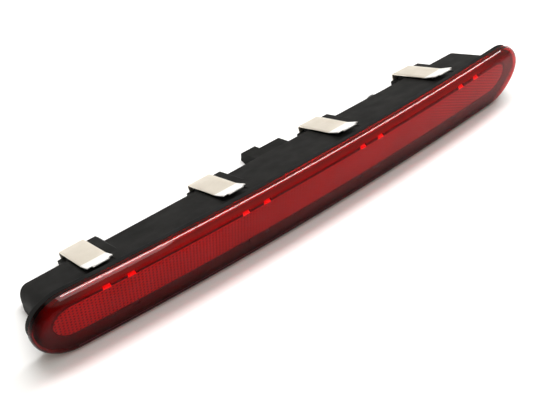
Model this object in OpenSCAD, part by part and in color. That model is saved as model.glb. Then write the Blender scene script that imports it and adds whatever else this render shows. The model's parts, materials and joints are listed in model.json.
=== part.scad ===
// High-mount stop lamp with a long pill-shaped bowed lens, held by four spring clips.
// +X runs along the lamp, -Y points out through the lens, +Z is up.
// The origin is the middle of the lens rim plane, where the lens meets the housing flange.

/* [Lens] */
// Length of the lens, end to end
lens_l = 412; // [380:2:430]
// Height of the lens
lens_h = 52; // [48:1:56]
// Depth of the lens from rim to front
lens_depth = 8; // [7:0.5:10]
// Wall of the lens
lens_wall = 2.4; // [2:0.1:3]
// Radius of the rounded long shoulders of the lens
lens_shoulder = 6; // [4:0.5:7]
// How far the lens ends sweep back from its middle
bow_sag = 7.4; // [6:0.2:12]

/* [Optic] */
// Length of the patterned inner optic
optic_l = 384; // [370:2:386]
// Height of the patterned inner optic
optic_h = 25.4; // [23:0.2:27]
// Thickness of the inner optic
optic_t = 2.1; // [1.8:0.1:3]
// Spacing of the two snap tabs in each pair
tab_pitch = 16.4; // [12:0.2:20]

/* [Housing] */
// Reach of the wedge-shaped tub behind the lens on its rounded side
tub_left = 194; // [188:1:194]
// Reach of the tub on its square side
tub_right = 189.5; // [184:0.5:190]
// Distance from the rim plane to the back of the tub
tub_back = 51.2; // [48:0.2:56]
// Angle at which the top of the tub falls toward the back
slope = 28.8; // [24:0.2:32]
// Height of the back wall of the tub
back_h = 15.1; // [14:0.1:17]
// Wall of the tub
tub_wall = 2.2; // [1.8:0.1:2.6]
// Thickness of the flange that the lens is welded to
flange_t = 1.5; // [1.5:0.5:3]
// Thickness of the foam gasket behind the flange
gasket_t = 3; // [2.5:0.5:4]

/* [Clips] */
// Spacing of the four spring clips along the lamp
clip_pitch = 98.6; // [90:0.2:104]
// Width of a clip
clip_w = 18; // [14:1:20]
// Length of the straight leaf of a clip
leaf_l = 37; // [34:1:38]
// Length of the flared lip of a clip
lip_l = 12; // [10:0.5:13]
// Thickness of the spring steel
steel_t = 0.8; // [0.6:0.1:1]
// Angle at which the lip flares upward
lip_flare = 9; // [7:1:12]

/* [Electronics] */
// Number of light-emitting diodes along the board
led_count = 16; // [12:1:20]
// Length of the circuit board
board_l = 356; // [340:2:360]
// Height of the circuit board
board_h = 21; // [18:0.5:21]

/* [Hidden] */

$fn = 96;
gap = 0.3;                 // clearance between neighbouring pieces
over = 1;                  // how far a cutter runs past the face it cuts
skin = 0.02;               // keeps faces that would lie exactly on one another just apart
bow_r = (pow(lens_l / 2, 2) + pow(bow_sag, 2)) / (2 * bow_sag);   // radius of the bow at the rim
bow_angle = 10;            // swept angle that covers the whole lens
bow_fn = 1440;             // facets of the full bow circle
shoulder_steps = 6;        // chords in each rounded shoulder of the lens

clip_x = [for (i = [0:3]) (i - 1.5) * clip_pitch];
optic_back = 0.3;          // rim plane to the back of the optic
bezel_t = 2.9;             // rim plane to the front of the bezel
tab_w = 5;
tab_h = 2.6;

table_z = -lens_h / 2;     // level on which the lens and the back of the tub stand
mouth_z = -20;             // underside of the tub at the rim plane
round_corner = 8;          // radius of the rear corner and the top edge at the rounded end
square_corner = 1.2;       // radius of the rear corner at the square end
flange_inset = 1;          // the flange stops this far inside the lens outline
gasket_inset = 0.8;        // the same for the ends of the gasket
gasket_drop = 2.4;         // the same for its long sides
top_wall = 3.2;            // thicker wall under the clips
tub_in_back = tub_back - tub_wall;
back_top = table_z + back_h;

// In the sloped frame y runs down along the tub's top and z stands square to it, from the same origin
top_h = tub_back * sin(slope) + back_top * cos(slope);      // level of the tub's top in the sloped frame
leaf_h = top_h + 0.9;      // underside of a clip's leaf
pad_h = leaf_h - gap;      // top of the pads that carry the clips
leg_y = 62.4;              // middle of a clip's back leg
bend_r = 1.2;              // inner radius of the clip's upper bend
stub_h = 0.5;              // upright stub between the hinge line and the bend
leaf_z = stub_h + bend_r;  // underside of the leaf above the hinge line
hinge_h = leaf_h - leaf_z;
leg_l = 6.4;               // length of the fixed leg below the hinge line
pad_x0 = -8;               // ends of a pad, which reaches further to one side of its clip
pad_x1 = 18.2;
pad_stop = 2;              // space between the pad and the leg
ledge_x0 = -12;            // near end of the lower ledge that the leg is fixed to
ledge_h = hinge_h - 2.2;   // top of the ledge
press = 3;                 // angle by which a clip can be pressed down
tongue_l = 3;              // how far the tongue stands out from the lip
tongue_w = 11.4;

board_y = 14;              // front face of the board
board_t = 1.6;
board_z = -6.5;            // middle of the board
led_size = [3.5, 1.9, 2.8];
screw_x = [-160, -55, 55, 160];
post_r = 2.6;
screw_r = 1.25;
tray_t = 1.4;              // wall of the light tray
tray_back = board_y - 2.6;
tray_floor = -13.5;

plug_x = -1.8;             // middle of the connector block's deeper part
plug_w = 12.4;
plug_back = 68.1;          // y of its end
plug_drop = 7;             // height of the block at its end
shelf_w = 17.4;
shelf_back = 62.4;
socket_w = 9.8;
socket_h = 4.8;
socket_z = table_z + 1.1 + socket_h / 2;
socket_floor = 54.5;       // y of the bottom of the socket
pin_pitch = 4.4;
pin_t = 0.8;
pin_w = 1.8;
pin_tip = 61;
pin_rise = 46;             // y at which the pins step up toward the board
pin_z = -15.5;             // level of the pins at the board

vent_x = 105;
vent_r = 5.4;
vent_z = table_z + back_h / 2;

// Distance by which the bow moves a place back at x
function bow(x) = bow_r - sqrt(pow(bow_r, 2) - pow(x, 2));

// Height of the outer top and underside of the tub at y
function top_at(y) = back_top + (tub_back - y) * tan(slope);
function under_at(y) = mouth_z + (table_z - mouth_z) * y / tub_back;

// Sweeps a section along the bow: its x is the distance in front of the rim plane, its y is height
module bowed() {
    translate([0, bow_r, 0])
        rotate([0, 0, -90 - bow_angle / 2])
            rotate_extrude(angle = bow_angle, $fn = bow_fn)
                translate([bow_r, 0])
                    children();
}

// Everything that lies behind the bowed surface at a distance t in front of the rim plane
module behind(t) {
    translate([0, bow_r, 0])
        cylinder(r = bow_r + t, h = 80, center = true, $fn = bow_fn);
}

// Pill outline, upright, swept along Y
module pill(l, h, y0, y1) {
    translate([0, y1, 0]) rotate([90, 0, 0])
        linear_extrude(height = y1 - y0) {
            square([l - h, h], center = true);
            for (s = [-1, 1]) translate([s * (l - h) / 2, 0]) circle(d = h);
        }
}

// Box given by its lowest and highest corners
module block(a, b) {
    translate(a) cube([for (i = [0:2]) b[i] - a[i]]);
}

// Outline in the YZ plane swept along X from x0 to x1
module along_x(x0, x1) {
    translate([x0, 0, 0]) rotate([90, 0, 90])
        linear_extrude(height = x1 - x0)
            children();
}

// Turns the sloped frame into place
module sloped() {
    rotate([-slope, 0, 0]) children();
}

// Lens section with rounded front shoulders, each arc drawn as a few chords
module lens_section(depth, h, r) {
    arc = [for (k = [0:shoulder_steps]) let (a = 90 * k / shoulder_steps)
        [depth - r + r * cos(a), h / 2 - r + r * sin(a)]];
    upper = concat(arc, [[-over, h / 2]]);
    polygon(concat(upper, [for (k = [len(upper) - 1:-1:0]) [upper[k][0], -upper[k][1]]]));
}

module outer_lens() {
    w = lens_wall;
    color("red", 0.6)
        difference() {
            intersection() {
                bowed() lens_section(lens_depth, lens_h, lens_shoulder);
                pill(lens_l, lens_h + skin, -lens_depth - over, bow_sag + over);
            }
            behind(0);
            intersection() {
                bowed() lens_section(lens_depth - w, lens_h - 2 * w, lens_shoulder - w);
                pill(lens_l - 2 * w, lens_h - 2 * w + skin, -lens_depth - over, bow_sag + over);
            }
        }
}

// Places a tab-sized child at every snap tab
module at_tabs() {
    for (x = clip_x, s = [-1, 1], side = [-1, 1])
        translate([x + s * tab_pitch / 2, bow(x + s * tab_pitch / 2), side * (optic_h + tab_h) / 2])
            children();
}

module inner_optic() {
    color("crimson") {
        intersection() {
            bowed() translate([optic_back, -optic_h]) square([optic_t, 2 * optic_h]);
            pill(optic_l, optic_h, -lens_depth, bow_sag + over);
        }
        at_tabs()
            translate([0, -optic_back - optic_t / 2, 0])
                cube([tab_w, optic_t - 0.6, tab_h], center = true);
    }
}

module optic_bezel() {
    inset = 2 * (lens_wall + gap);
    color([0.08, 0.02, 0.02])
        difference() {
            intersection() {
                bowed() translate([optic_back, -lens_h / 2]) square([bezel_t - optic_back, lens_h]);
                pill(lens_l - inset, lens_h - inset, -lens_depth, bow_sag + over);
            }
            pill(optic_l + 2 * gap, optic_h + 2 * gap, -lens_depth - over, bow_sag + 2 * over);
            at_tabs()
                cube([tab_w + 2 * gap, 4 * lens_depth, tab_h + 4 * gap], center = true);
        }
}

// Wedge outline of the tub, grown outward by g: sloping top, one end rounded and one square
module tub_wedge(g) {
    intersection() {
        along_x(-tub_left - g, tub_right + g)
            polygon([[-over, under_at(-over) - g], [tub_back + g, table_z - g],
                [tub_back + g, top_at(tub_back + g) + g], [-over, top_at(-over) + g]]);
        translate([0, 0, 2 * table_z])
            linear_extrude(height = -4 * table_z)
                rear_plan(-tub_left - g, tub_right + g, tub_back + g, round_corner + g, square_corner + g);
        sloped() translate([0, 2 * tub_back, 0]) rotate([90, 0, 0])
            linear_extrude(height = 4 * tub_back)
                top_profile(-tub_left - g, tub_right + g, top_h + g, round_corner + g);
    }
}

// Plan of the tub from x0 to x1 with rear corner radii r0 and r1
module rear_plan(x0, x1, y, r0, r1) {
    translate([x0, -2 * over]) square([x1 - x0, y - max(r0, r1) + 2 * over]);
    translate([x0 + r0, -2 * over]) square([x1 - x0 - r0 - r1, y + 2 * over]);
    translate([x0 + r0, y - r0]) circle(r0);
    translate([x1 - r1, y - r1]) circle(r1);
    translate([x1 - 2 * r1, -2 * over]) square([2 * r1, y - r1 + 2 * over]);
}

// Profile across the tub's length with its top edge rounded at x0
module top_profile(x0, x1, top, r) {
    depth = 3 * lens_h;
    translate([x0 + r, top - r]) circle(r);
    translate([x0, -depth]) square([x1 - x0, depth + top - r]);
    translate([x0 + r, -depth]) square([x1 - x0 - r + over, depth + top + over]);
}

// Hollow inside the tub
module tub_hollow() {
    drop = top_wall / cos(slope);
    x0 = top_wall - tub_left;
    x1 = tub_right - tub_wall;
    intersection() {
        along_x(x0, x1)
            polygon([[-2 * over, under_at(-2 * over) + tub_wall], [tub_in_back, under_at(tub_in_back) + tub_wall],
                [tub_in_back, top_at(tub_in_back) - drop], [-2 * over, top_at(-2 * over) - drop]]);
        translate([0, 0, 2 * table_z])
            linear_extrude(height = -4 * table_z)
                rear_plan(x0, x1, tub_in_back, round_corner - tub_wall, over);
    }
}

module gasket() {
    color([0.05, 0.05, 0.05])
        difference() {
            intersection() {
                bowed() translate([-flange_t - gasket_t, -lens_h / 2]) square([gasket_t - skin, lens_h]);
                pill(lens_l - 2 * gasket_inset, lens_h - 2 * gasket_drop, -over, bow_sag + 2 * lens_depth);
            }
            tub_wedge(gap);
        }
}

// Raised pad and lower ledge that carry one clip, around x = 0, in the sloped frame
module clip_pad(b) {
    back = leg_y - steel_t / 2 - gap + b;
    root_y = tub_back * cos(slope) - back_top * sin(slope);
    foot = [for (p = [[tub_back - over, table_z + over], [back * cos(slope) + 7 * sin(slope), table_z + 2]])
        [p[0] * cos(slope) - p[1] * sin(slope), p[0] * sin(slope) + p[1] * cos(slope)]];
    pad_back = back - pad_stop;
    intersection() {
        along_x(pad_x0, pad_x1)
            polygon([[root_y - 22, top_h - over], [root_y - 22, top_h], [root_y - 8, pad_h],
                [pad_back - over, pad_h], [pad_back, pad_h - over], [pad_back, foot[1][1]], foot[0],
                [root_y - over, top_h - over]]);
        translate([0, back + over, 0])
            rotate([90, 0, 0])
                linear_extrude(height = 60)
                    polygon([[pad_x0, -10], [pad_x0, pad_h - over], [pad_x0 + over, pad_h], [pad_x1 - 2, pad_h],
                        [pad_x1, pad_h - 2], [pad_x1, -10]]);
    }
    along_x(ledge_x0, pad_x1 - 0.2)
        polygon([[root_y - over, ledge_h], [back - over, ledge_h], [back, ledge_h - over],
            [back, foot[1][1] + 0.1], foot[0], [root_y - over, ledge_h - over]]);
}

// Pocket under a leaf, so that it can be pressed down, and an opening in front of its leg
module clip_pocket(b) {
    y = leg_y + b;
    half = clip_w / 2 + 0.8;
    along_x(-half, half)
        polygon([[y - 5, pad_h + over], [y - 5, pad_h],
            [y - leaf_l, leaf_h - leaf_l * sin(press) - gap], [y - leaf_l - lip_l - over, top_h - 0.2],
            [y - leaf_l - lip_l - over, top_h + over], [y - leaf_l, pad_h + over]]);
    along_x(-half, half)
        polygon([[y - 5.5, pad_h + over], [y - 5.5, ledge_h], [y + over, ledge_h], [y + over, pad_h + over]]);
}

// Connector block behind the tub: a deeper part with the socket, and a shorter shelf beside it
module plug_block() {
    plug_x0 = plug_x - plug_w / 2;
    fall = (back_top - table_z - plug_drop) / (plug_back - tub_back);
    along_x(plug_x0, plug_x0 + plug_w)
        polygon([[tub_back - over, table_z], [plug_back, table_z], [plug_back, table_z + plug_drop],
            [tub_back, back_top - 0.1], [tub_back - over, back_top - 0.1]]);
    along_x(plug_x0 + plug_w - over, plug_x0 + plug_w + shelf_w)
        polygon([[tub_back - over, table_z + 2], [shelf_back, table_z + 2],
            [shelf_back, back_top - (shelf_back - tub_back) * fall], [tub_back, back_top - 0.1],
            [tub_back - over, back_top - 0.1]]);
}

module housing() {
    color([0.12, 0.12, 0.12])
        difference() {
            union() {
                intersection() {
                    tub_wedge(0);
                    behind(0);
                }
                intersection() {
                    bowed() translate([-flange_t, -lens_h / 2]) square([flange_t, lens_h]);
                    pill(lens_l - 2 * flange_inset, lens_h - 2 * flange_inset, -over, bow_sag + lens_depth);
                }
                for (x = clip_x) sloped() translate([x, 0, 0]) clip_pad(bow(x));
                plug_block();
            }
            difference() {
                intersection() {
                    tub_hollow();
                    behind(lens_depth);
                }
                for (x = screw_x)
                    translate([x, board_y + board_t, board_z]) rotate([-90, 0, 0]) cylinder(r = post_r, h = tub_back);
            }
            for (x = screw_x)
                translate([x, board_y, board_z]) rotate([-90, 0, 0]) cylinder(r = screw_r, h = 14);
            for (x = clip_x) sloped() translate([x, 0, 0]) clip_pocket(bow(x));
            block([plug_x - socket_w / 2, socket_floor, socket_z - socket_h / 2],
                [plug_x + socket_w / 2, plug_back + over, socket_z + socket_h / 2]);
            block([plug_x - 3.7, tub_in_back - over, socket_z - 1.6],
                [plug_x + 3.7, socket_floor + over, socket_z + 1.6]);
            translate([vent_x, tub_back - 10, vent_z]) rotate([-90, 0, 0]) cylinder(r = vent_r - 2, h = 20);
        }
}

// Natural plastic insert that holds the pins where they pass the back wall
module contact_carrier() {
    color([0.75, 0.72, 0.65])
        translate([plug_x, 0, socket_z])
            difference() {
                union() {
                    block([-3.5, tub_in_back - over, -1.4], [3.5, socket_floor, 1.4]);
                    block([-5, tub_in_back - 2, -0.7], [5, tub_in_back - 0.1, 4]);
                }
                for (s = [-1, 1])
                    translate([s * pin_pitch / 2, 0, 0])
                        block([-pin_w / 2, tub_in_back - 3, -pin_t / 2], [pin_w / 2, socket_floor + over, pin_t / 2]);
            }
}

// Flat pins that run from the socket, step up and reach the board
module terminal_pins() {
    color("silver")
        for (s = [-1, 1])
            translate([plug_x + s * pin_pitch / 2, 0, 0])
                along_x(-pin_w / 2, pin_w / 2)
                    polygon([[board_y + board_t + 0.1, pin_z], [pin_rise - pin_t, pin_z],
                        [pin_rise - pin_t, socket_z - pin_t / 2], [pin_tip - over, socket_z - pin_t / 2],
                        [pin_tip, socket_z - pin_t / 4], [pin_tip, socket_z + pin_t / 4],
                        [pin_tip - over, socket_z + pin_t / 2], [pin_rise, socket_z + pin_t / 2],
                        [pin_rise, pin_z + pin_t], [board_y + board_t + 0.1, pin_z + pin_t]]);
}

module connector_seal() {
    color([0.55, 0.2, 0.12])
        translate([plug_x, socket_floor, socket_z])
            difference() {
                block([-socket_w / 2, 0, -socket_h / 2], [socket_w / 2, 2, socket_h / 2]);
                block([over - socket_w / 2, -over, 0.8 - socket_h / 2],
                    [socket_w / 2 - over, 2 + over, socket_h / 2 - 0.8]);
            }
}

module vent_plug() {
    color([0.3, 0.3, 0.3])
        translate([vent_x, tub_back, vent_z]) rotate([-90, 0, 0])
            difference() {
                union() {
                    cylinder(r = vent_r, h = 3);
                    translate([0, 0, -tub_wall - 1]) cylinder(r = vent_r - 2, h = tub_wall + 1);
                }
                for (a = [0:60:300]) rotate([0, 0, a]) translate([3.1, 0, 1.8]) cylinder(r = 0.7, h = 3, $fn = 24);
                translate([0, 0, -tub_wall - 2]) cylinder(r = 1.5, h = 4, $fn = 32);
            }
}

module circuit_board() {
    color("darkgreen")
        difference() {
            translate([-board_l / 2, board_y, board_z - board_h / 2]) cube([board_l, board_t, board_h]);
            for (x = screw_x)
                translate([x, board_y - over, board_z]) rotate([-90, 0, 0])
                    cylinder(r = screw_r + 0.35, h = board_t + 2 * over);
        }
}

module leds() {
    pitch = board_l / led_count;
    color("white")
        for (i = [0:led_count - 1])
            translate([(i - (led_count - 1) / 2) * pitch, board_y, 0]) {
                block([-led_size[0] / 2, -led_size[1] + 0.7, -led_size[2] / 2],
                    [led_size[0] / 2, 0, led_size[2] / 2]);
                translate([0, -led_size[1] + 0.7, 0]) rotate([90, 0, 0]) cylinder(r = 1.2, h = 0.7);
            }
}

module resistors() {
    pitch = board_l / led_count;
    color([0.1, 0.1, 0.1])
        for (i = [0:2:led_count - 1])
            translate([(i - (led_count - 1) / 2) * pitch + pitch / 2, board_y + board_t, -1])
                block([-1.6, 0, -0.8], [1.6, 0.6, 0.8]);
}

module diodes() {
    color([0.15, 0.15, 0.15])
        for (x = [-34, 26])
            translate([x, board_y + board_t, -11])
                block([-2.2, 0, -1.4], [2.2, 2.2, 1.4]);
}

module board_screws() {
    color("gainsboro")
        for (x = screw_x)
            translate([x, board_y, board_z]) rotate([-90, 0, 0])
                difference() {
                    union() {
                        translate([0, 0, -1.8]) cylinder(r = 2.6, h = 1.8);
                        cylinder(r = screw_r, h = 10);
                    }
                    for (a = [0, 90])
                        rotate([0, 0, a]) translate([-1.6, -0.3, -1.8 - over]) cube([3.2, 0.6, 1 + over]);
                }
}

// Section of the light tray drawn in by t
module tray_section(t, y0, y1) {
    roof = top_wall / cos(slope) + gap + t;
    polygon([[y0, tray_floor + t], [y1, tray_floor + t], [y1, top_at(y1) - roof], [y0, top_at(y0) - roof]]);
}

module light_tray() {
    cell = board_l / led_count;
    half = led_count * cell / 2 + tray_t;
    front = bow(half) + gap;
    color("whitesmoke")
        difference() {
            along_x(-half, half) tray_section(0, front, tray_back);
            for (i = [0:led_count - 1])
                let (x = (i - led_count / 2) * cell)
                    along_x(x + tray_t / 2, x + cell - tray_t / 2)
                        tray_section(tray_t, front - over, tray_back + over);
        }
}

// Fixed back leg of a clip, behind its pad
module clip_anchor(i) {
    x = clip_x[i];
    color([0.82, 0.8, 0.74])
        sloped() translate([x, bow(x) + leg_y, hinge_h]) {
            block([-clip_w / 2, -steel_t / 2, -leg_l], [clip_w / 2, steel_t / 2, -gap]);
            block([-clip_w / 4, -steel_t / 2 - gap, 1 - leg_l], [clip_w / 4, steel_t / 2 - 0.1, -2.4]);
        }
}

// Side view of a clip's sprung leaf: stub, bend over the pad, straight leaf and flared lip
module arm_side() {
    translate([-steel_t / 2, 0]) square([steel_t, stub_h + skin]);
    translate([-bend_r - steel_t / 2, stub_h])
        intersection() {
            difference() {
                circle(bend_r + steel_t);
                circle(bend_r);
            }
            square(bend_r + steel_t);
        }
    run = lip_l + tongue_l;
    polygon([[skin - bend_r - steel_t / 2, leaf_z], [skin - bend_r - steel_t / 2, leaf_z + steel_t],
        [-leaf_l + steel_t * tan(lip_flare / 2), leaf_z + steel_t],
        [-leaf_l - run * cos(lip_flare) + steel_t * sin(lip_flare),
            leaf_z + run * sin(lip_flare) + steel_t * cos(lip_flare)],
        [-leaf_l - run * cos(lip_flare), leaf_z + run * sin(lip_flare)], [-leaf_l, leaf_z]]);
}

// Sprung part of a clip, its lip cut back beside a middle tongue
module clip_arm(i) {
    x = clip_x[i];
    color([0.88, 0.86, 0.8])
        sloped() translate([x, bow(x) + leg_y, hinge_h])
            difference() {
                along_x(-clip_w / 2, clip_w / 2) arm_side();
                for (s = [-1, 1])
                    translate([s * (tongue_w + clip_w) / 2, -leaf_l, leaf_z])
                        rotate([-lip_flare, 0, 0])
                            translate([-clip_w / 2, -lip_l - 2 * tongue_l, -over])
                                cube([clip_w, 2 * tongue_l, steel_t + 2 * over]);
            }
}

module clip_anchor_1() clip_anchor(0);
module clip_anchor_2() clip_anchor(1);
module clip_anchor_3() clip_anchor(2);
module clip_anchor_4() clip_anchor(3);
module clip_arm_1() clip_arm(0);
module clip_arm_2() clip_arm(1);
module clip_arm_3() clip_arm(2);
module clip_arm_4() clip_arm(3);

housing();
outer_lens();
optic_bezel();
inner_optic();
light_tray();
circuit_board();
leds();
resistors();
diodes();
board_screws();
terminal_pins();
contact_carrier();
connector_seal();
vent_plug();
gasket();
clip_anchor_1();
clip_anchor_2();
clip_anchor_3();
clip_anchor_4();
clip_arm_1();
clip_arm_2();
clip_arm_3();
clip_arm_4();
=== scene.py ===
import json
import math

import bmesh
import bpy
from mathutils import Matrix, Vector


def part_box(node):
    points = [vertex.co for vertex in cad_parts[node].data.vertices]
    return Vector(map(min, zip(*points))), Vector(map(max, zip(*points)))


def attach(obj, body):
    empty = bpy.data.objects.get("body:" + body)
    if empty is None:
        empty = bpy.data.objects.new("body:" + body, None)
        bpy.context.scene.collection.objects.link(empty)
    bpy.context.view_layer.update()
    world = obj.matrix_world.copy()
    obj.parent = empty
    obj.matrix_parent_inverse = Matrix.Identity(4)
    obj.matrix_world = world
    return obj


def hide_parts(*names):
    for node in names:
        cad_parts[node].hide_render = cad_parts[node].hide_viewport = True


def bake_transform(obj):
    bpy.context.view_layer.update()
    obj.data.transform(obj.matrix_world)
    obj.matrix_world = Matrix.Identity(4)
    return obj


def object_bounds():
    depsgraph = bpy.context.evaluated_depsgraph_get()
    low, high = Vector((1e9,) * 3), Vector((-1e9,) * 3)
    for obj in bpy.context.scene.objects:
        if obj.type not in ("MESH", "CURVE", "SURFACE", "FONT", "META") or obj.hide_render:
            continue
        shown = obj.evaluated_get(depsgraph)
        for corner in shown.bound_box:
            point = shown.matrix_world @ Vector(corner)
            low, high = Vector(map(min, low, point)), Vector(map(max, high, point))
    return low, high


# A high-mount stop lamp: red bowed lens, patterned optic, black wedge-shaped housing, four sprung clips.

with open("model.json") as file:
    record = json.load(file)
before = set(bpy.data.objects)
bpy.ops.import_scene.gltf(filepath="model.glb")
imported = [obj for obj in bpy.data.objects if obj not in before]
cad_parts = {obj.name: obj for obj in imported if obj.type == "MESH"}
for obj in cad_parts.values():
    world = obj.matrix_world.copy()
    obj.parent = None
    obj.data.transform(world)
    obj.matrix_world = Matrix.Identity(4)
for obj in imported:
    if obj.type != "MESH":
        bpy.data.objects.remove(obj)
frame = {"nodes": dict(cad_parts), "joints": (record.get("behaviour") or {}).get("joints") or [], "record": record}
cad_lo, cad_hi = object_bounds()
nodes = frame["nodes"]
MM = 0.001

# Sizes read from the frame
lens_lo, lens_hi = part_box("outer_lens")
lens_l = lens_hi.x - lens_lo.x
lens_h = lens_hi.z - lens_lo.z
lens_depth = -lens_lo.y
bow_sag = lens_hi.y
bow_r = ((lens_l / 2) ** 2 + bow_sag ** 2) / (2 * bow_sag)
optic_lo, optic_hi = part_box("inner_optic")
optic_l = optic_hi.x - optic_lo.x

# Sizes that the boxes don't give
lens_wall = 2.4 * MM
lens_shoulder = 6 * MM
optic_h = 25.4 * MM                # without its snap tabs
slope = math.radians(28.8)         # of the housing's top and the clips on it

# A clip's strip, by its middle line in the sloped side view
steel_t = 0.8 * MM
leg_drop = 6.4 * MM                # from the hinge line down to the foot of the leg
leaf_rise = 2.1 * MM               # from the hinge line up to the leaf
bend_r = 1.6 * MM
leaf_l = 37 * MM
crease = 0.5 * MM                  # half the run of the bend between leaf and lip
lip_l = 12 * MM
lip_flare = math.radians(9)
tongue_l = 3 * MM
tongue_w = 11.4 * MM

# Points along one straight side and round one end of a pill outline, and round a quarter bend
PILL_STRAIGHT = 72
PILL_ROUND = 28
QUARTER = 8


def bow_y(x, t):
    """Y of a place at x that lies a distance t in front of the bowed rim plane."""
    return bow_r - math.sqrt((bow_r + t) ** 2 - x * x)


# ---------------------------------------------------------------- materials

class Nodes:
    """A small helper that adds nodes to a material and links them."""

    def __init__(self, name):
        self.material = bpy.data.materials.new(name)
        self.material.use_nodes = True
        self.tree = self.material.node_tree
        self.tree.nodes.clear()
        self.out = self.add("ShaderNodeOutputMaterial")
        self.place = self.add("ShaderNodeTexCoord").outputs["Object"]

    def add(self, kind, **sockets):
        node = self.tree.nodes.new(kind)
        for key, value in sockets.items():
            self.put(node.inputs[key.replace("_", " ")], value)
        return node

    def put(self, socket, value):
        if isinstance(value, bpy.types.NodeSocket):
            self.tree.links.new(value, socket)
        else:
            socket.default_value = value

    def math(self, operation, a, b=0.0, c=0.0):
        node = self.tree.nodes.new("ShaderNodeMath")
        node.operation = operation
        for socket, value in zip(node.inputs, (a, b, c)):
            self.put(socket, value)
        return node.outputs[0]

    def noise(self, scale, detail=3.0, rough=0.5, where=None):
        node = self.add("ShaderNodeTexNoise", Vector=where or self.place, Scale=scale, Detail=detail,
                        Roughness=rough)
        return node.outputs["Fac"]

    def remap(self, value, low, high, to_low, to_high):
        node = self.add("ShaderNodeMapRange", Value=value, From_Min=low, From_Max=high, To_Min=to_low,
                        To_Max=to_high)
        return node.outputs[0]

    def spread(self, noise, to_low, to_high):
        """Stretches a noise over a range. Its own values lie mostly from 0.3 to 0.7."""
        return self.remap(noise, 0.3, 0.7, to_low, to_high)

    def axes(self):
        """The X, Y and Z of a place on the part."""
        return self.add("ShaderNodeSeparateXYZ", Vector=self.place).outputs[:3]

    def distance(self, a, b):
        return self.math("SQRT", self.math("ADD", self.math("MULTIPLY", a, a), self.math("MULTIPLY", b, b)))

    def mix(self, factor, a, b):
        node = self.tree.nodes.new("ShaderNodeMix")
        node.data_type = "RGBA"
        for socket, value in ((node.inputs[0], factor), (node.inputs[6], a), (node.inputs[7], b)):
            if not isinstance(value, bpy.types.NodeSocket) and socket.type == "RGBA":
                value = (*value[:3], 1.0)
            self.put(socket, value)
        return node.outputs[2]

    def bump(self, height, strength, distance, normal=None):
        node = self.add("ShaderNodeBump", Height=height, Strength=strength, Distance=distance)
        if normal is not None:
            self.put(node.inputs["Normal"], normal)
        return node.outputs[0]

    def stretched(self, sx, sy, sz):
        node = self.add("ShaderNodeMapping", Vector=self.place)
        node.inputs["Scale"].default_value = (sx, sy, sz)
        return node.outputs[0]

    def finish(self, shader):
        self.tree.links.new(shader, self.out.inputs["Surface"])
        return self.material


def edge_mask(n, radius):
    """1 on worn edges, 0 on flat faces: how far a bevelled normal turns from the face's own."""
    bevel = n.tree.nodes.new("ShaderNodeBevel")
    bevel.samples = 4
    bevel.inputs["Radius"].default_value = radius
    flat = n.tree.nodes.new("ShaderNodeNewGeometry").outputs["True Normal"]
    dot = n.tree.nodes.new("ShaderNodeVectorMath")
    dot.operation = "DOT_PRODUCT"
    n.put(dot.inputs[0], bevel.outputs[0])
    n.put(dot.inputs[1], flat)
    return n.remap(dot.outputs["Value"], 0.75, 0.995, 1.0, 0.0), bevel.outputs[0]


def moulded(name, dark, light, rough=(0.35, 0.5), grain=1800.0, depth=0.02, edge=0.3 * MM, wear=0.5,
            metal=0.0, specular=0.5):
    """Plastic, rubber or plated metal: drifting colour, fine grain, and paler edges with a small radius."""
    n = Nodes(name)
    drift = n.noise(35.0, 4.0)
    speck = n.noise(grain, 2.0)
    worn, rounded = edge_mask(n, edge)
    colour = n.mix(n.spread(drift, 0.0, 1.0), dark, light)
    pale = tuple(min(1.0, c * 1.6 + 0.02) for c in light[:3])
    colour = n.mix(n.math("MULTIPLY", worn, wear), colour, pale)
    roughness = n.spread(n.noise(90.0), *rough)
    shader = n.add("ShaderNodeBsdfPrincipled", Base_Color=colour, Roughness=roughness, Metallic=metal,
                   Normal=n.bump(speck, 0.5, depth * MM, rounded))
    shader.inputs["Specular IOR Level"].default_value = specular
    return n.finish(shader.outputs[0])


def pill_reach(n, length, height):
    """Distance of a place from the middle line of a pill outline in the XZ plane."""
    x, _, z = n.axes()
    past = n.math("SUBTRACT", n.math("ABSOLUTE", x), (length - height) / 2)
    return n.distance(n.math("MAXIMUM", past, 0.0), z)


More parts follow.
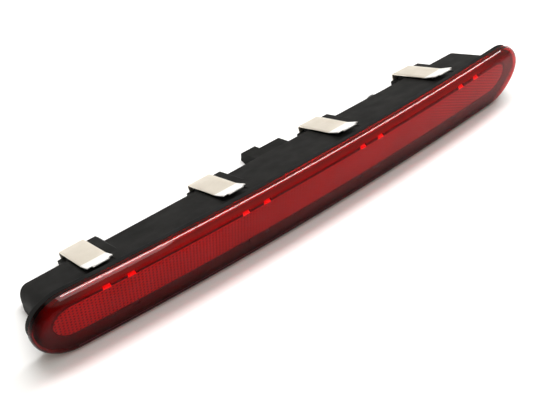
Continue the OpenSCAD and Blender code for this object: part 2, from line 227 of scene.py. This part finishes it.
def red_plastic(name, tint, rim_shade, rough):
    """Clear red plastic with painted shade round its rim, strongest in its lower half and at its ends, and a clear
    coat along its top shoulder only.

    Shadow rays pass straight through it, tinted, so that the lamp's inside is lit. Lower down they are
    nearly stopped, which makes the shadow on the floor less pink.
    """
    n = Nodes(name)
    ripple = n.noise(60.0, 2.0)
    fine = n.noise(900.0, 2.0)
    x, _, z = n.axes()
    reach = pill_reach(n, lens_l, lens_h)
    # Painted shade: the rim darkens towards the deep red, fully in the lower half, about half as much on top
    # except near the ends.
    edge = n.remap(reach, lens_h / 2 - 5 * MM, lens_h / 2 - 2.5 * MM, 0.0, 1.0)
    polish = n.remap(z, lens_h / 2 - 3.6 * MM, lens_h / 2 - 2.4 * MM, 0.0, 1.0)
    low = n.remap(z, 2 * MM, 14 * MM, 1.0, 0.45)
    ends = n.remap(n.math("ABSOLUTE", x), lens_l / 2 - 20 * MM, lens_l / 2 - 8 * MM, 0.0, 0.85)
    colour = n.mix(n.math("MULTIPLY", edge, n.math("MAXIMUM", low, ends)), tint, rim_shade)
    glass = n.add("ShaderNodeBsdfPrincipled", Base_Color=colour, Roughness=n.spread(fine, *rough),
                  Coat_Weight=polish, Normal=n.bump(ripple, 0.3, 0.02 * MM))
    glass.inputs["Transmission Weight"].default_value = 1.0
    glass.inputs["IOR"].default_value = 1.13
    below = n.remap(z, 6 * MM, 19 * MM, 1.0, 0.0)
    clear = n.add("ShaderNodeBsdfTransparent", Color=n.mix(below, colour, (0.06, 0.002, 0.002)))
    path = n.tree.nodes.new("ShaderNodeLightPath")
    both = n.tree.nodes.new("ShaderNodeMixShader")
    n.put(both.inputs[0], path.outputs["Is Shadow Ray"])
    n.put(both.inputs[1], glass.outputs[0])
    n.put(both.inputs[2], clear.outputs[0])
    return n.finish(both.outputs[0])


def dotted_optic(name):
    """Bright red optic with staggered columns of small dark pips.

    Its upper snap tabs and top edge are plain, with a painted highlight in bright red and a painted glow, and its
    lower tabs are darkened by painted shade.
    """
    n = Nodes(name)
    x, _, z = n.axes()
    pitch_x, pitch_z = 2.4 * MM, 2.6 * MM
    u = n.math("DIVIDE", x, pitch_x)
    column = n.math("FLOOR", u)
    shift = n.math("MULTIPLY", n.math("MODULO", n.math("ABSOLUTE", column), 2.0), 0.5)
    v = n.math("ADD", n.math("DIVIDE", z, pitch_z), shift)
    du = n.math("MULTIPLY", n.math("SUBTRACT", n.math("FRACT", u), 0.5), pitch_x / pitch_z)
    dv = n.math("SUBTRACT", n.math("FRACT", v), 0.5)
    away = n.distance(du, dv)
    lit_tab = n.remap(z, optic_h / 2 - 0.9 * MM, optic_h / 2 - 0.5 * MM, 0.0, 1.0)
    shaded_low_tab = n.remap(z, -optic_h / 2 - 0.2 * MM, -optic_h / 2, 1.0, 0.0)
    pip_core, pip_rim = 0.17, 0.30     # radii, as shares of pitch_z
    pip = n.math("MULTIPLY", n.remap(away, pip_core, pip_rim, 1.0, 0.0), n.math("SUBTRACT", 1.0, lit_tab))
    drift = n.noise(28.0, 3.0)
    ground = n.mix(n.remap(drift, 0.35, 0.65, 0.0, 1.0), (0.60, 0.06, 0.07), (0.74, 0.09, 0.10))
    colour = n.mix(pip, ground, (0.012, 0.004, 0.003))
    # Painted highlight: the upper tabs and top edge get a bright red, and a red emission as a painted glow.
    colour = n.mix(lit_tab, colour, (1.0, 0.12, 0.10))
    # Painted shade: the lower tabs are darkened.
    colour = n.mix(shaded_low_tab, colour, (0.10, 0.012, 0.012))
    painted_glow = n.mix(lit_tab, (0.0, 0.0, 0.0), (1.0, 0.02, 0.02))
    shader = n.add("ShaderNodeBsdfPrincipled", Base_Color=colour, Emission_Color=painted_glow, Emission_Strength=0.6,
                   Roughness=n.spread(n.noise(400.0), 0.4, 0.5), Normal=n.bump(pip, 0.6, 0.15 * MM))
    shader.inputs["Specular IOR Level"].default_value = 0.2
    return n.finish(shader.outputs[0])


def bezel_plastic(name):
    """Moulded dark surround of the optic, with a band of painted light in red above it that fades out towards the
    ends and stops short of a dark ring round the optic.
    """
    n = Nodes(name)
    reach = pill_reach(n, optic_l, optic_h)
    x, _, z = n.axes()
    # Painted light: the red band above the optic stands for light through the lens, fading to painted shade
    # towards the ends.
    inner = n.remap(n.math("ABSOLUTE", x), lens_l / 2 - 46 * MM, lens_l / 2 - 26 * MM, 1.0, 0.25)
    clear_of_ring = n.remap(reach, optic_h / 2 + 1.6 * MM, optic_h / 2 + 2.4 * MM, 0.0, 1.0)
    lit = n.math("MULTIPLY", n.remap(z, 0.0, 10 * MM, 0.0, 1.0), inner)
    lit = n.math("MULTIPLY", lit, clear_of_ring)
    drift = n.spread(n.noise(35.0, 4.0), 0.0, 1.0)
    worn, rounded = edge_mask(n, 0.3 * MM)
    dark = n.mix(drift, (0.05, 0.003, 0.003), (0.09, 0.005, 0.005))
    # The red is the painted light on the upper band; the dark is the surround's own colour.
    red = n.mix(drift, (0.46, 0.006, 0.010), (0.62, 0.010, 0.014))
    colour = n.mix(n.math("MULTIPLY", worn, 0.3), n.mix(lit, dark, red), (0.16, 0.02, 0.02))
    grain = n.bump(n.noise(1800.0), 0.5, 0.02 * MM, rounded)
    shader = n.add("ShaderNodeBsdfPrincipled", Base_Color=colour, Normal=grain,
                   Roughness=n.spread(n.noise(90.0), 0.35, 0.45))
    shader.inputs["Specular IOR Level"].default_value = 0.2
    return n.finish(shader.outputs[0])


def spring_steel(name):
    """Bare bright strip, rolled along its length, with faint stains, rubbed edges and a painted highlight that
    whitens the lip.
    """
    n = Nodes(name)
    rolled = n.noise(1.0, 3.0, 0.6, n.stretched(2600.0, 60.0, 60.0))
    stain = n.noise(55.0, 5.0, 0.6)
    worn, rounded = edge_mask(n, 0.15 * MM)
    x, y, z = n.axes()
    sweep = n.math("DIVIDE", n.math("MULTIPLY", x, x), 2 * bow_r)
    down = n.math("SUBTRACT", n.math("MULTIPLY", y, math.cos(slope)), n.math("MULTIPLY", z, math.sin(slope)))
    # Painted highlight: the lip, in front of the crease, is whitened.
    lip_highlight = n.remap(n.math("SUBTRACT", down, sweep), 25.1 * MM, 25.7 * MM, 1.0, 0.0)
    colour = n.mix(n.remap(stain, 0.35, 0.7, 0.0, 1.0), (0.87, 0.81, 0.71), (0.80, 0.74, 0.64))
    colour = n.mix(lip_highlight, colour, (0.98, 0.97, 0.95))
    colour = n.mix(n.math("MULTIPLY", worn, 0.5), colour, (0.96, 0.95, 0.93))
    rough = n.math("ADD", n.spread(rolled, 0.30, 0.42), n.remap(stain, 0.4, 0.7, 0.0, 0.08))
    shader = n.add("ShaderNodeBsdfPrincipled", Base_Color=colour, Roughness=rough, Metallic=0.85,
                   Normal=n.bump(rolled, 0.25, 0.01 * MM, rounded))
    return n.finish(shader.outputs[0])


def circuit_green(name):
    """Solder mask with copper tracks showing faintly under it."""
    n = Nodes(name)
    cells = n.add("ShaderNodeTexVoronoi", Vector=n.stretched(160.0, 160.0, 420.0), Scale=1.0)
    cells.feature = "DISTANCE_TO_EDGE"
    track = n.remap(cells.outputs["Distance"], 0.04, 0.09, 1.0, 0.0)
    colour = n.mix(track, (0.012, 0.10, 0.045), (0.03, 0.19, 0.07))
    colour = n.mix(n.remap(n.noise(50.0), 0.4, 0.7, 0.0, 0.35), colour, (0.008, 0.06, 0.03))
    shader = n.add("ShaderNodeBsdfPrincipled", Base_Color=colour, Normal=n.bump(track, 0.4, 0.03 * MM),
                   Roughness=n.spread(n.noise(700.0), 0.2, 0.34))
    return n.finish(shader.outputs[0])


MATERIALS = {
    # The second red is the painted shade round the lens's rim.
    "lens_red": red_plastic("lens_red", (0.80, 0.008, 0.012), (0.16, 0.001, 0.002), (0.0, 0.03)),
    "optic_red": dotted_optic("optic_red"),
    "bezel_dark": bezel_plastic("bezel_dark"),
    "housing_black": moulded("housing_black", (0.006, 0.006, 0.006), (0.010, 0.010, 0.0095), rough=(0.5, 0.6),
                             edge=0.8 * MM, wear=0.25, depth=0.03, specular=0.05),
    "gasket_foam": moulded("gasket_foam", (0.004, 0.004, 0.004), (0.010, 0.010, 0.010), rough=(0.75, 0.9),
                           grain=1400.0, depth=0.12, edge=0.9 * MM, wear=0.15, specular=0.25),
    "tray_white": moulded("tray_white", (0.74, 0.74, 0.72), (0.86, 0.86, 0.84), rough=(0.3, 0.42), wear=0.2),
    "board_green": circuit_green("board_green"),
    "led_package": moulded("led_package", (0.80, 0.76, 0.60), (0.90, 0.88, 0.78), rough=(0.2, 0.3),
                           edge=0.2 * MM),
    "chip_black": moulded("chip_black", (0.015, 0.015, 0.016), (0.03, 0.03, 0.03), rough=(0.4, 0.5),
                          edge=0.1 * MM),
    "screw_steel": moulded("screw_steel", (0.55, 0.55, 0.54), (0.68, 0.68, 0.66), rough=(0.28, 0.4),
                           metal=1.0, edge=0.2 * MM),
    "pin_tin": moulded("pin_tin", (0.70, 0.69, 0.66), (0.82, 0.80, 0.76), rough=(0.18, 0.3), metal=1.0,
                       edge=0.1 * MM),
    "carrier_natural": moulded("carrier_natural", (0.62, 0.58, 0.48), (0.72, 0.69, 0.60), rough=(0.4, 0.5)),
    "seal_rubber": moulded("seal_rubber", (0.30, 0.07, 0.03), (0.42, 0.12, 0.06), rough=(0.5, 0.62),
                           edge=0.2 * MM),
    "vent_grey": moulded("vent_grey", (0.05, 0.05, 0.05), (0.08, 0.08, 0.08), rough=(0.45, 0.6)),
    "clip_steel": spring_steel("clip_steel"),
}

for part in frame["record"]["subparts"]:
    cad = nodes[part["node"]]
    for place in cad.material_slots:
        place.material = MATERIALS[part["material_slot"]]


# ---------------------------------------------------------------- pieces

def new_piece(name, slot, bm, smooth_angle=40):
    """Turns a bmesh into a smooth-shaded object that takes its finish from one of the record's slots."""
    mesh = bpy.data.meshes.new(name)
    bmesh.ops.recalc_face_normals(bm, faces=bm.faces)
    bm.to_mesh(mesh)
    bm.free()
    obj = bpy.data.objects.new(name, mesh)
    bpy.context.collection.objects.link(obj)
    for face in mesh.polygons:
        face.use_smooth = True
    mesh.set_sharp_from_angle(angle=math.radians(smooth_angle))
    mesh.materials.append(MATERIALS[slot])
    return obj


def pill_ring(inset, t):
    """Points round a pill outline drawn in by inset, on the bowed surface t in front of the rim plane."""
    straight = (lens_l - lens_h) / 2
    radius = lens_h / 2 - inset
    points = []
    for side in (1, -1):
        for k in range(PILL_STRAIGHT):
            points.append((side * straight * (1 - 2 * k / PILL_STRAIGHT), side * radius))
        for k in range(PILL_ROUND):
            a = math.pi * k / PILL_ROUND
            points.append((-side * (straight + radius * math.sin(a)), side * radius * math.cos(a)))
    return [Vector((x, bow_y(x, t), z)) for x, z in points]


def bridge(bm, ring_a, ring_b):
    """Joins two rings of as many points with a band of faces."""
    count = len(ring_a)
    for k in range(count):
        corners = [ring_a[k], ring_a[(k + 1) % count], ring_b[(k + 1) % count], ring_b[k]]
        bm.faces.new(corners)


def shell_rings(depth, shoulder, offset):
    """Insets and depths from the rim over the rounded shoulder and in to the middle line."""
    rings = [(offset, 0.0), (offset, (depth - shoulder) * 0.5)]
    for k in range(QUARTER + 1):
        a = math.pi / 2 * k / QUARTER
        rings.append((offset + shoulder * (1 - math.cos(a)), depth - shoulder + shoulder * math.sin(a)))
    inner = offset + shoulder
    for share in (0.25, 0.5, 0.75, 0.97):
        rings.append((inner + (lens_h / 2 - inner) * share, depth))
    return rings


def close_seam(bm, ring):
    """Closes the narrow slot left inside the last ring by joining its upper edge to its lower edge."""
    half = len(ring) // 2
    upper = ring[:PILL_STRAIGHT + 1]
    lower = [ring[(half + PILL_STRAIGHT - k) % len(ring)] for k in range(PILL_STRAIGHT + 1)]
    for k in range(PILL_STRAIGHT):
        bm.faces.new((upper[k], upper[k + 1], lower[k + 1], lower[k]))
    for start in (PILL_STRAIGHT, half + PILL_STRAIGHT):
        end = [ring[(start + k) % len(ring)] for k in range(PILL_ROUND + 1)]
        bm.faces.new(end)


def make_lens():
    """The lens as one closed shell, its outer and inner sides joined round the rim."""
    bm = bmesh.new()
    sides = (shell_rings(lens_depth, lens_shoulder, 0.0),
             shell_rings(lens_depth - lens_wall, lens_shoulder - lens_wall, lens_wall))
    rims = []
    for rings in sides:
        loops = [[bm.verts.new(p) for p in pill_ring(inset, t)] for inset, t in rings]
        for a, b in zip(loops, loops[1:]):
            bridge(bm, a, b)
        close_seam(bm, loops[-1])
        rims.append(loops[0])
    bridge(bm, rims[0], rims[1])
    lens = new_piece("lens_cover", "lens_red", bm, 50)
    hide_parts("outer_lens")
    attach(lens, "root")


def strip_path():
    """Middle line of a clip's strip, from the foot of its leg to its tongue, as (y, z) from the hinge."""
    points = [(0.0, -leg_drop), (0.0, -leg_drop * 0.5), (0.0, 0.0), (0.0, leaf_rise - bend_r)]
    for k in range(1, QUARTER + 1):
        a = math.pi / 2 * k / QUARTER
        points.append((-bend_r + bend_r * math.cos(a), leaf_rise - bend_r + bend_r * math.sin(a)))
    for share in (0.25, 0.5, 0.75):
        points.append((-bend_r - (leaf_l - bend_r) * share, leaf_rise))
    crease_start = -leaf_l + crease
    points.append((crease_start, leaf_rise))
    for k in range(1, 4):
        run = crease * 2 * k / 3
        points.append((crease_start - run, leaf_rise + run * math.tan(lip_flare * k / 3 / 2)))
    y, z = points[-1]
    for run in ((lip_l - crease) * 0.5, lip_l - crease, lip_l - crease + tongue_l):
        points.append((y - run * math.cos(lip_flare), z + run * math.sin(lip_flare)))
    return points


def strip_layer(bm, path, columns, side, to_place):
    """Rows of points across the strip on one of its faces, side away from the middle line."""
    rows = []
    for k, (y, z) in enumerate(path):
        before, after = path[max(k - 1, 0)], path[min(k + 1, len(path) - 1)]
        run = Vector((after[0] - before[0], after[1] - before[1])).normalized()
        # with side above 0 this is behind the leg and above the leaf
        py, pz = y + run.y * side, z - run.x * side
        rows.append([bm.verts.new(to_place @ Vector((c, py, pz))) for c in columns])
    return rows


def make_clip(number):
    """One bent strip for a clip's leg and leaf. Its last row is only the tongue between the lip's corners."""
    arm_lo, arm_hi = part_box("clip_arm_" + number)
    joint = next(j for j in frame["joints"] if j["name"] == "clip_" + number + "_flex")
    hinge = Vector(joint["pos_m"])
    half_w = (arm_hi.x - arm_lo.x) / 2
    middle = (arm_lo.x + arm_hi.x) / 2
    tilt = Matrix.Rotation(-slope, 4, "X")
    to_place = Matrix.Translation((middle, hinge.y, hinge.z)) @ tilt
    columns = [-half_w, -tongue_w / 2, 0.0, tongue_w / 2, half_w]
    path = strip_path()
    last = len(path) - 1

    bm = bmesh.new()
    layers = [strip_layer(bm, path, columns, side, to_place) for side in (steel_t / 2, -steel_t / 2)]
    for rows in layers:
        for r in range(last):
            for c in range(len(columns) - 1):
                if r < last - 1 or c in (1, 2):
                    bm.faces.new((rows[r][c], rows[r][c + 1], rows[r + 1][c + 1], rows[r + 1][c]))
    across = {}
    for outer_row, inner_row in zip(*layers):
        across.update(zip(outer_row, inner_row))
    for edge in [e for e in bm.edges if e.is_boundary]:
        a, b = edge.verts
        if a in across:
            bm.faces.new((a, b, across[b], across[a]))
    for vert in [v for v in bm.verts if not v.link_faces]:
        bm.verts.remove(vert)
    bmesh.ops.recalc_face_normals(bm, faces=bm.faces)
    sharp = [e for e in bm.edges if len(e.link_faces) == 2 and e.calc_face_angle() > math.radians(60)]
    bmesh.ops.bevel(bm, geom=sharp, offset=0.15 * MM, segments=2, profile=0.5, affect="EDGES")

    clip = new_piece("spring_clip_" + number, "clip_steel", bm)
    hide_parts("clip_anchor_" + number, "clip_arm_" + number)
    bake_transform(clip)


make_lens()
for number in ("1", "2", "3", "4"):
    make_clip(number)


# ---------------------------------------------------------------- stage, light and camera

def stage_floor():
    """A plain pale floor under the lamp."""
    bm = bmesh.new()
    half = 6.0
    outline = ((-half, -half), (half, -half), (half, half), (-half, half))
    bm.faces.new([bm.verts.new((x, y, 0.0)) for x, y in outline])
    mesh = bpy.data.meshes.new("studio_floor")
    bm.to_mesh(mesh)
    bm.free()
    floor = bpy.data.objects.new("studio_floor", mesh)
    bpy.context.collection.objects.link(floor)
    floor.location.z = cad_lo.z
    n = Nodes("studio_white")
    shader = n.add("ShaderNodeBsdfPrincipled", Base_Color=(0.93, 0.93, 0.93, 1.0),
                   Roughness=n.spread(n.noise(3.0), 0.55, 0.7))
    shader.inputs["Specular IOR Level"].default_value = 0.2
    floor.data.materials.append(n.finish(shader.outputs[0]))


def area_light(name, place, target, size_x, size_y, power):
    data = bpy.data.lights.new(name, "AREA")
    data.shape = "RECTANGLE"
    data.size, data.size_y = size_x, size_y
    data.energy = power
    lamp = bpy.data.objects.new(name, data)
    bpy.context.collection.objects.link(lamp)
    lamp.location = place
    lamp.rotation_mode = "QUATERNION"
    lamp.rotation_quaternion = (Vector(target) - Vector(place)).to_track_quat("-Z", "Y")


def studio():
    """A warm dim surround, a narrow strip for the highlight on the shoulder, and a wide soft light."""
    world = bpy.data.worlds.new("studio")
    world.use_nodes = True
    bpy.context.scene.world = world
    back = world.node_tree.nodes["Background"]
    back.inputs[0].default_value = (1.0, 0.93, 0.82, 1.0)
    back.inputs[1].default_value = 0.36
    area_light("strip_above", (0.75, 0.26, 1.3), (0.75, 0.26, 0.0), 2.1, 0.25, 25.0)
    area_light("softbox_front", (-0.1, -0.1, 1.6), (0.0, -0.1, 0.0), 1.8, 1.0, 12.0)
    bpy.context.scene.view_settings.view_transform = "Standard"


def camera():
    """High in front of the lamp's left end, looking along it and down."""
    data = bpy.data.cameras.new("camera")
    data.sensor_width = 36.0
    data.lens = 59.3
    cam = bpy.data.objects.new("camera", data)
    bpy.context.collection.objects.link(cam)
    forward = Vector((0.432, 0.5166, -0.7393)).normalized()
    right = Vector((0.7833, -0.6212, 0.0236))
    right = (right - forward * right.dot(forward)).normalized()
    up = right.cross(forward)
    turn = Matrix((right, up, -forward)).transposed().to_4x4()
    cam.matrix_world = Matrix.Translation(Vector((-0.28038, -0.28797, 0.42406))) @ turn
    data.clip_start = 0.01
    bpy.context.scene.camera = cam


stage_floor()
studio()
camera()
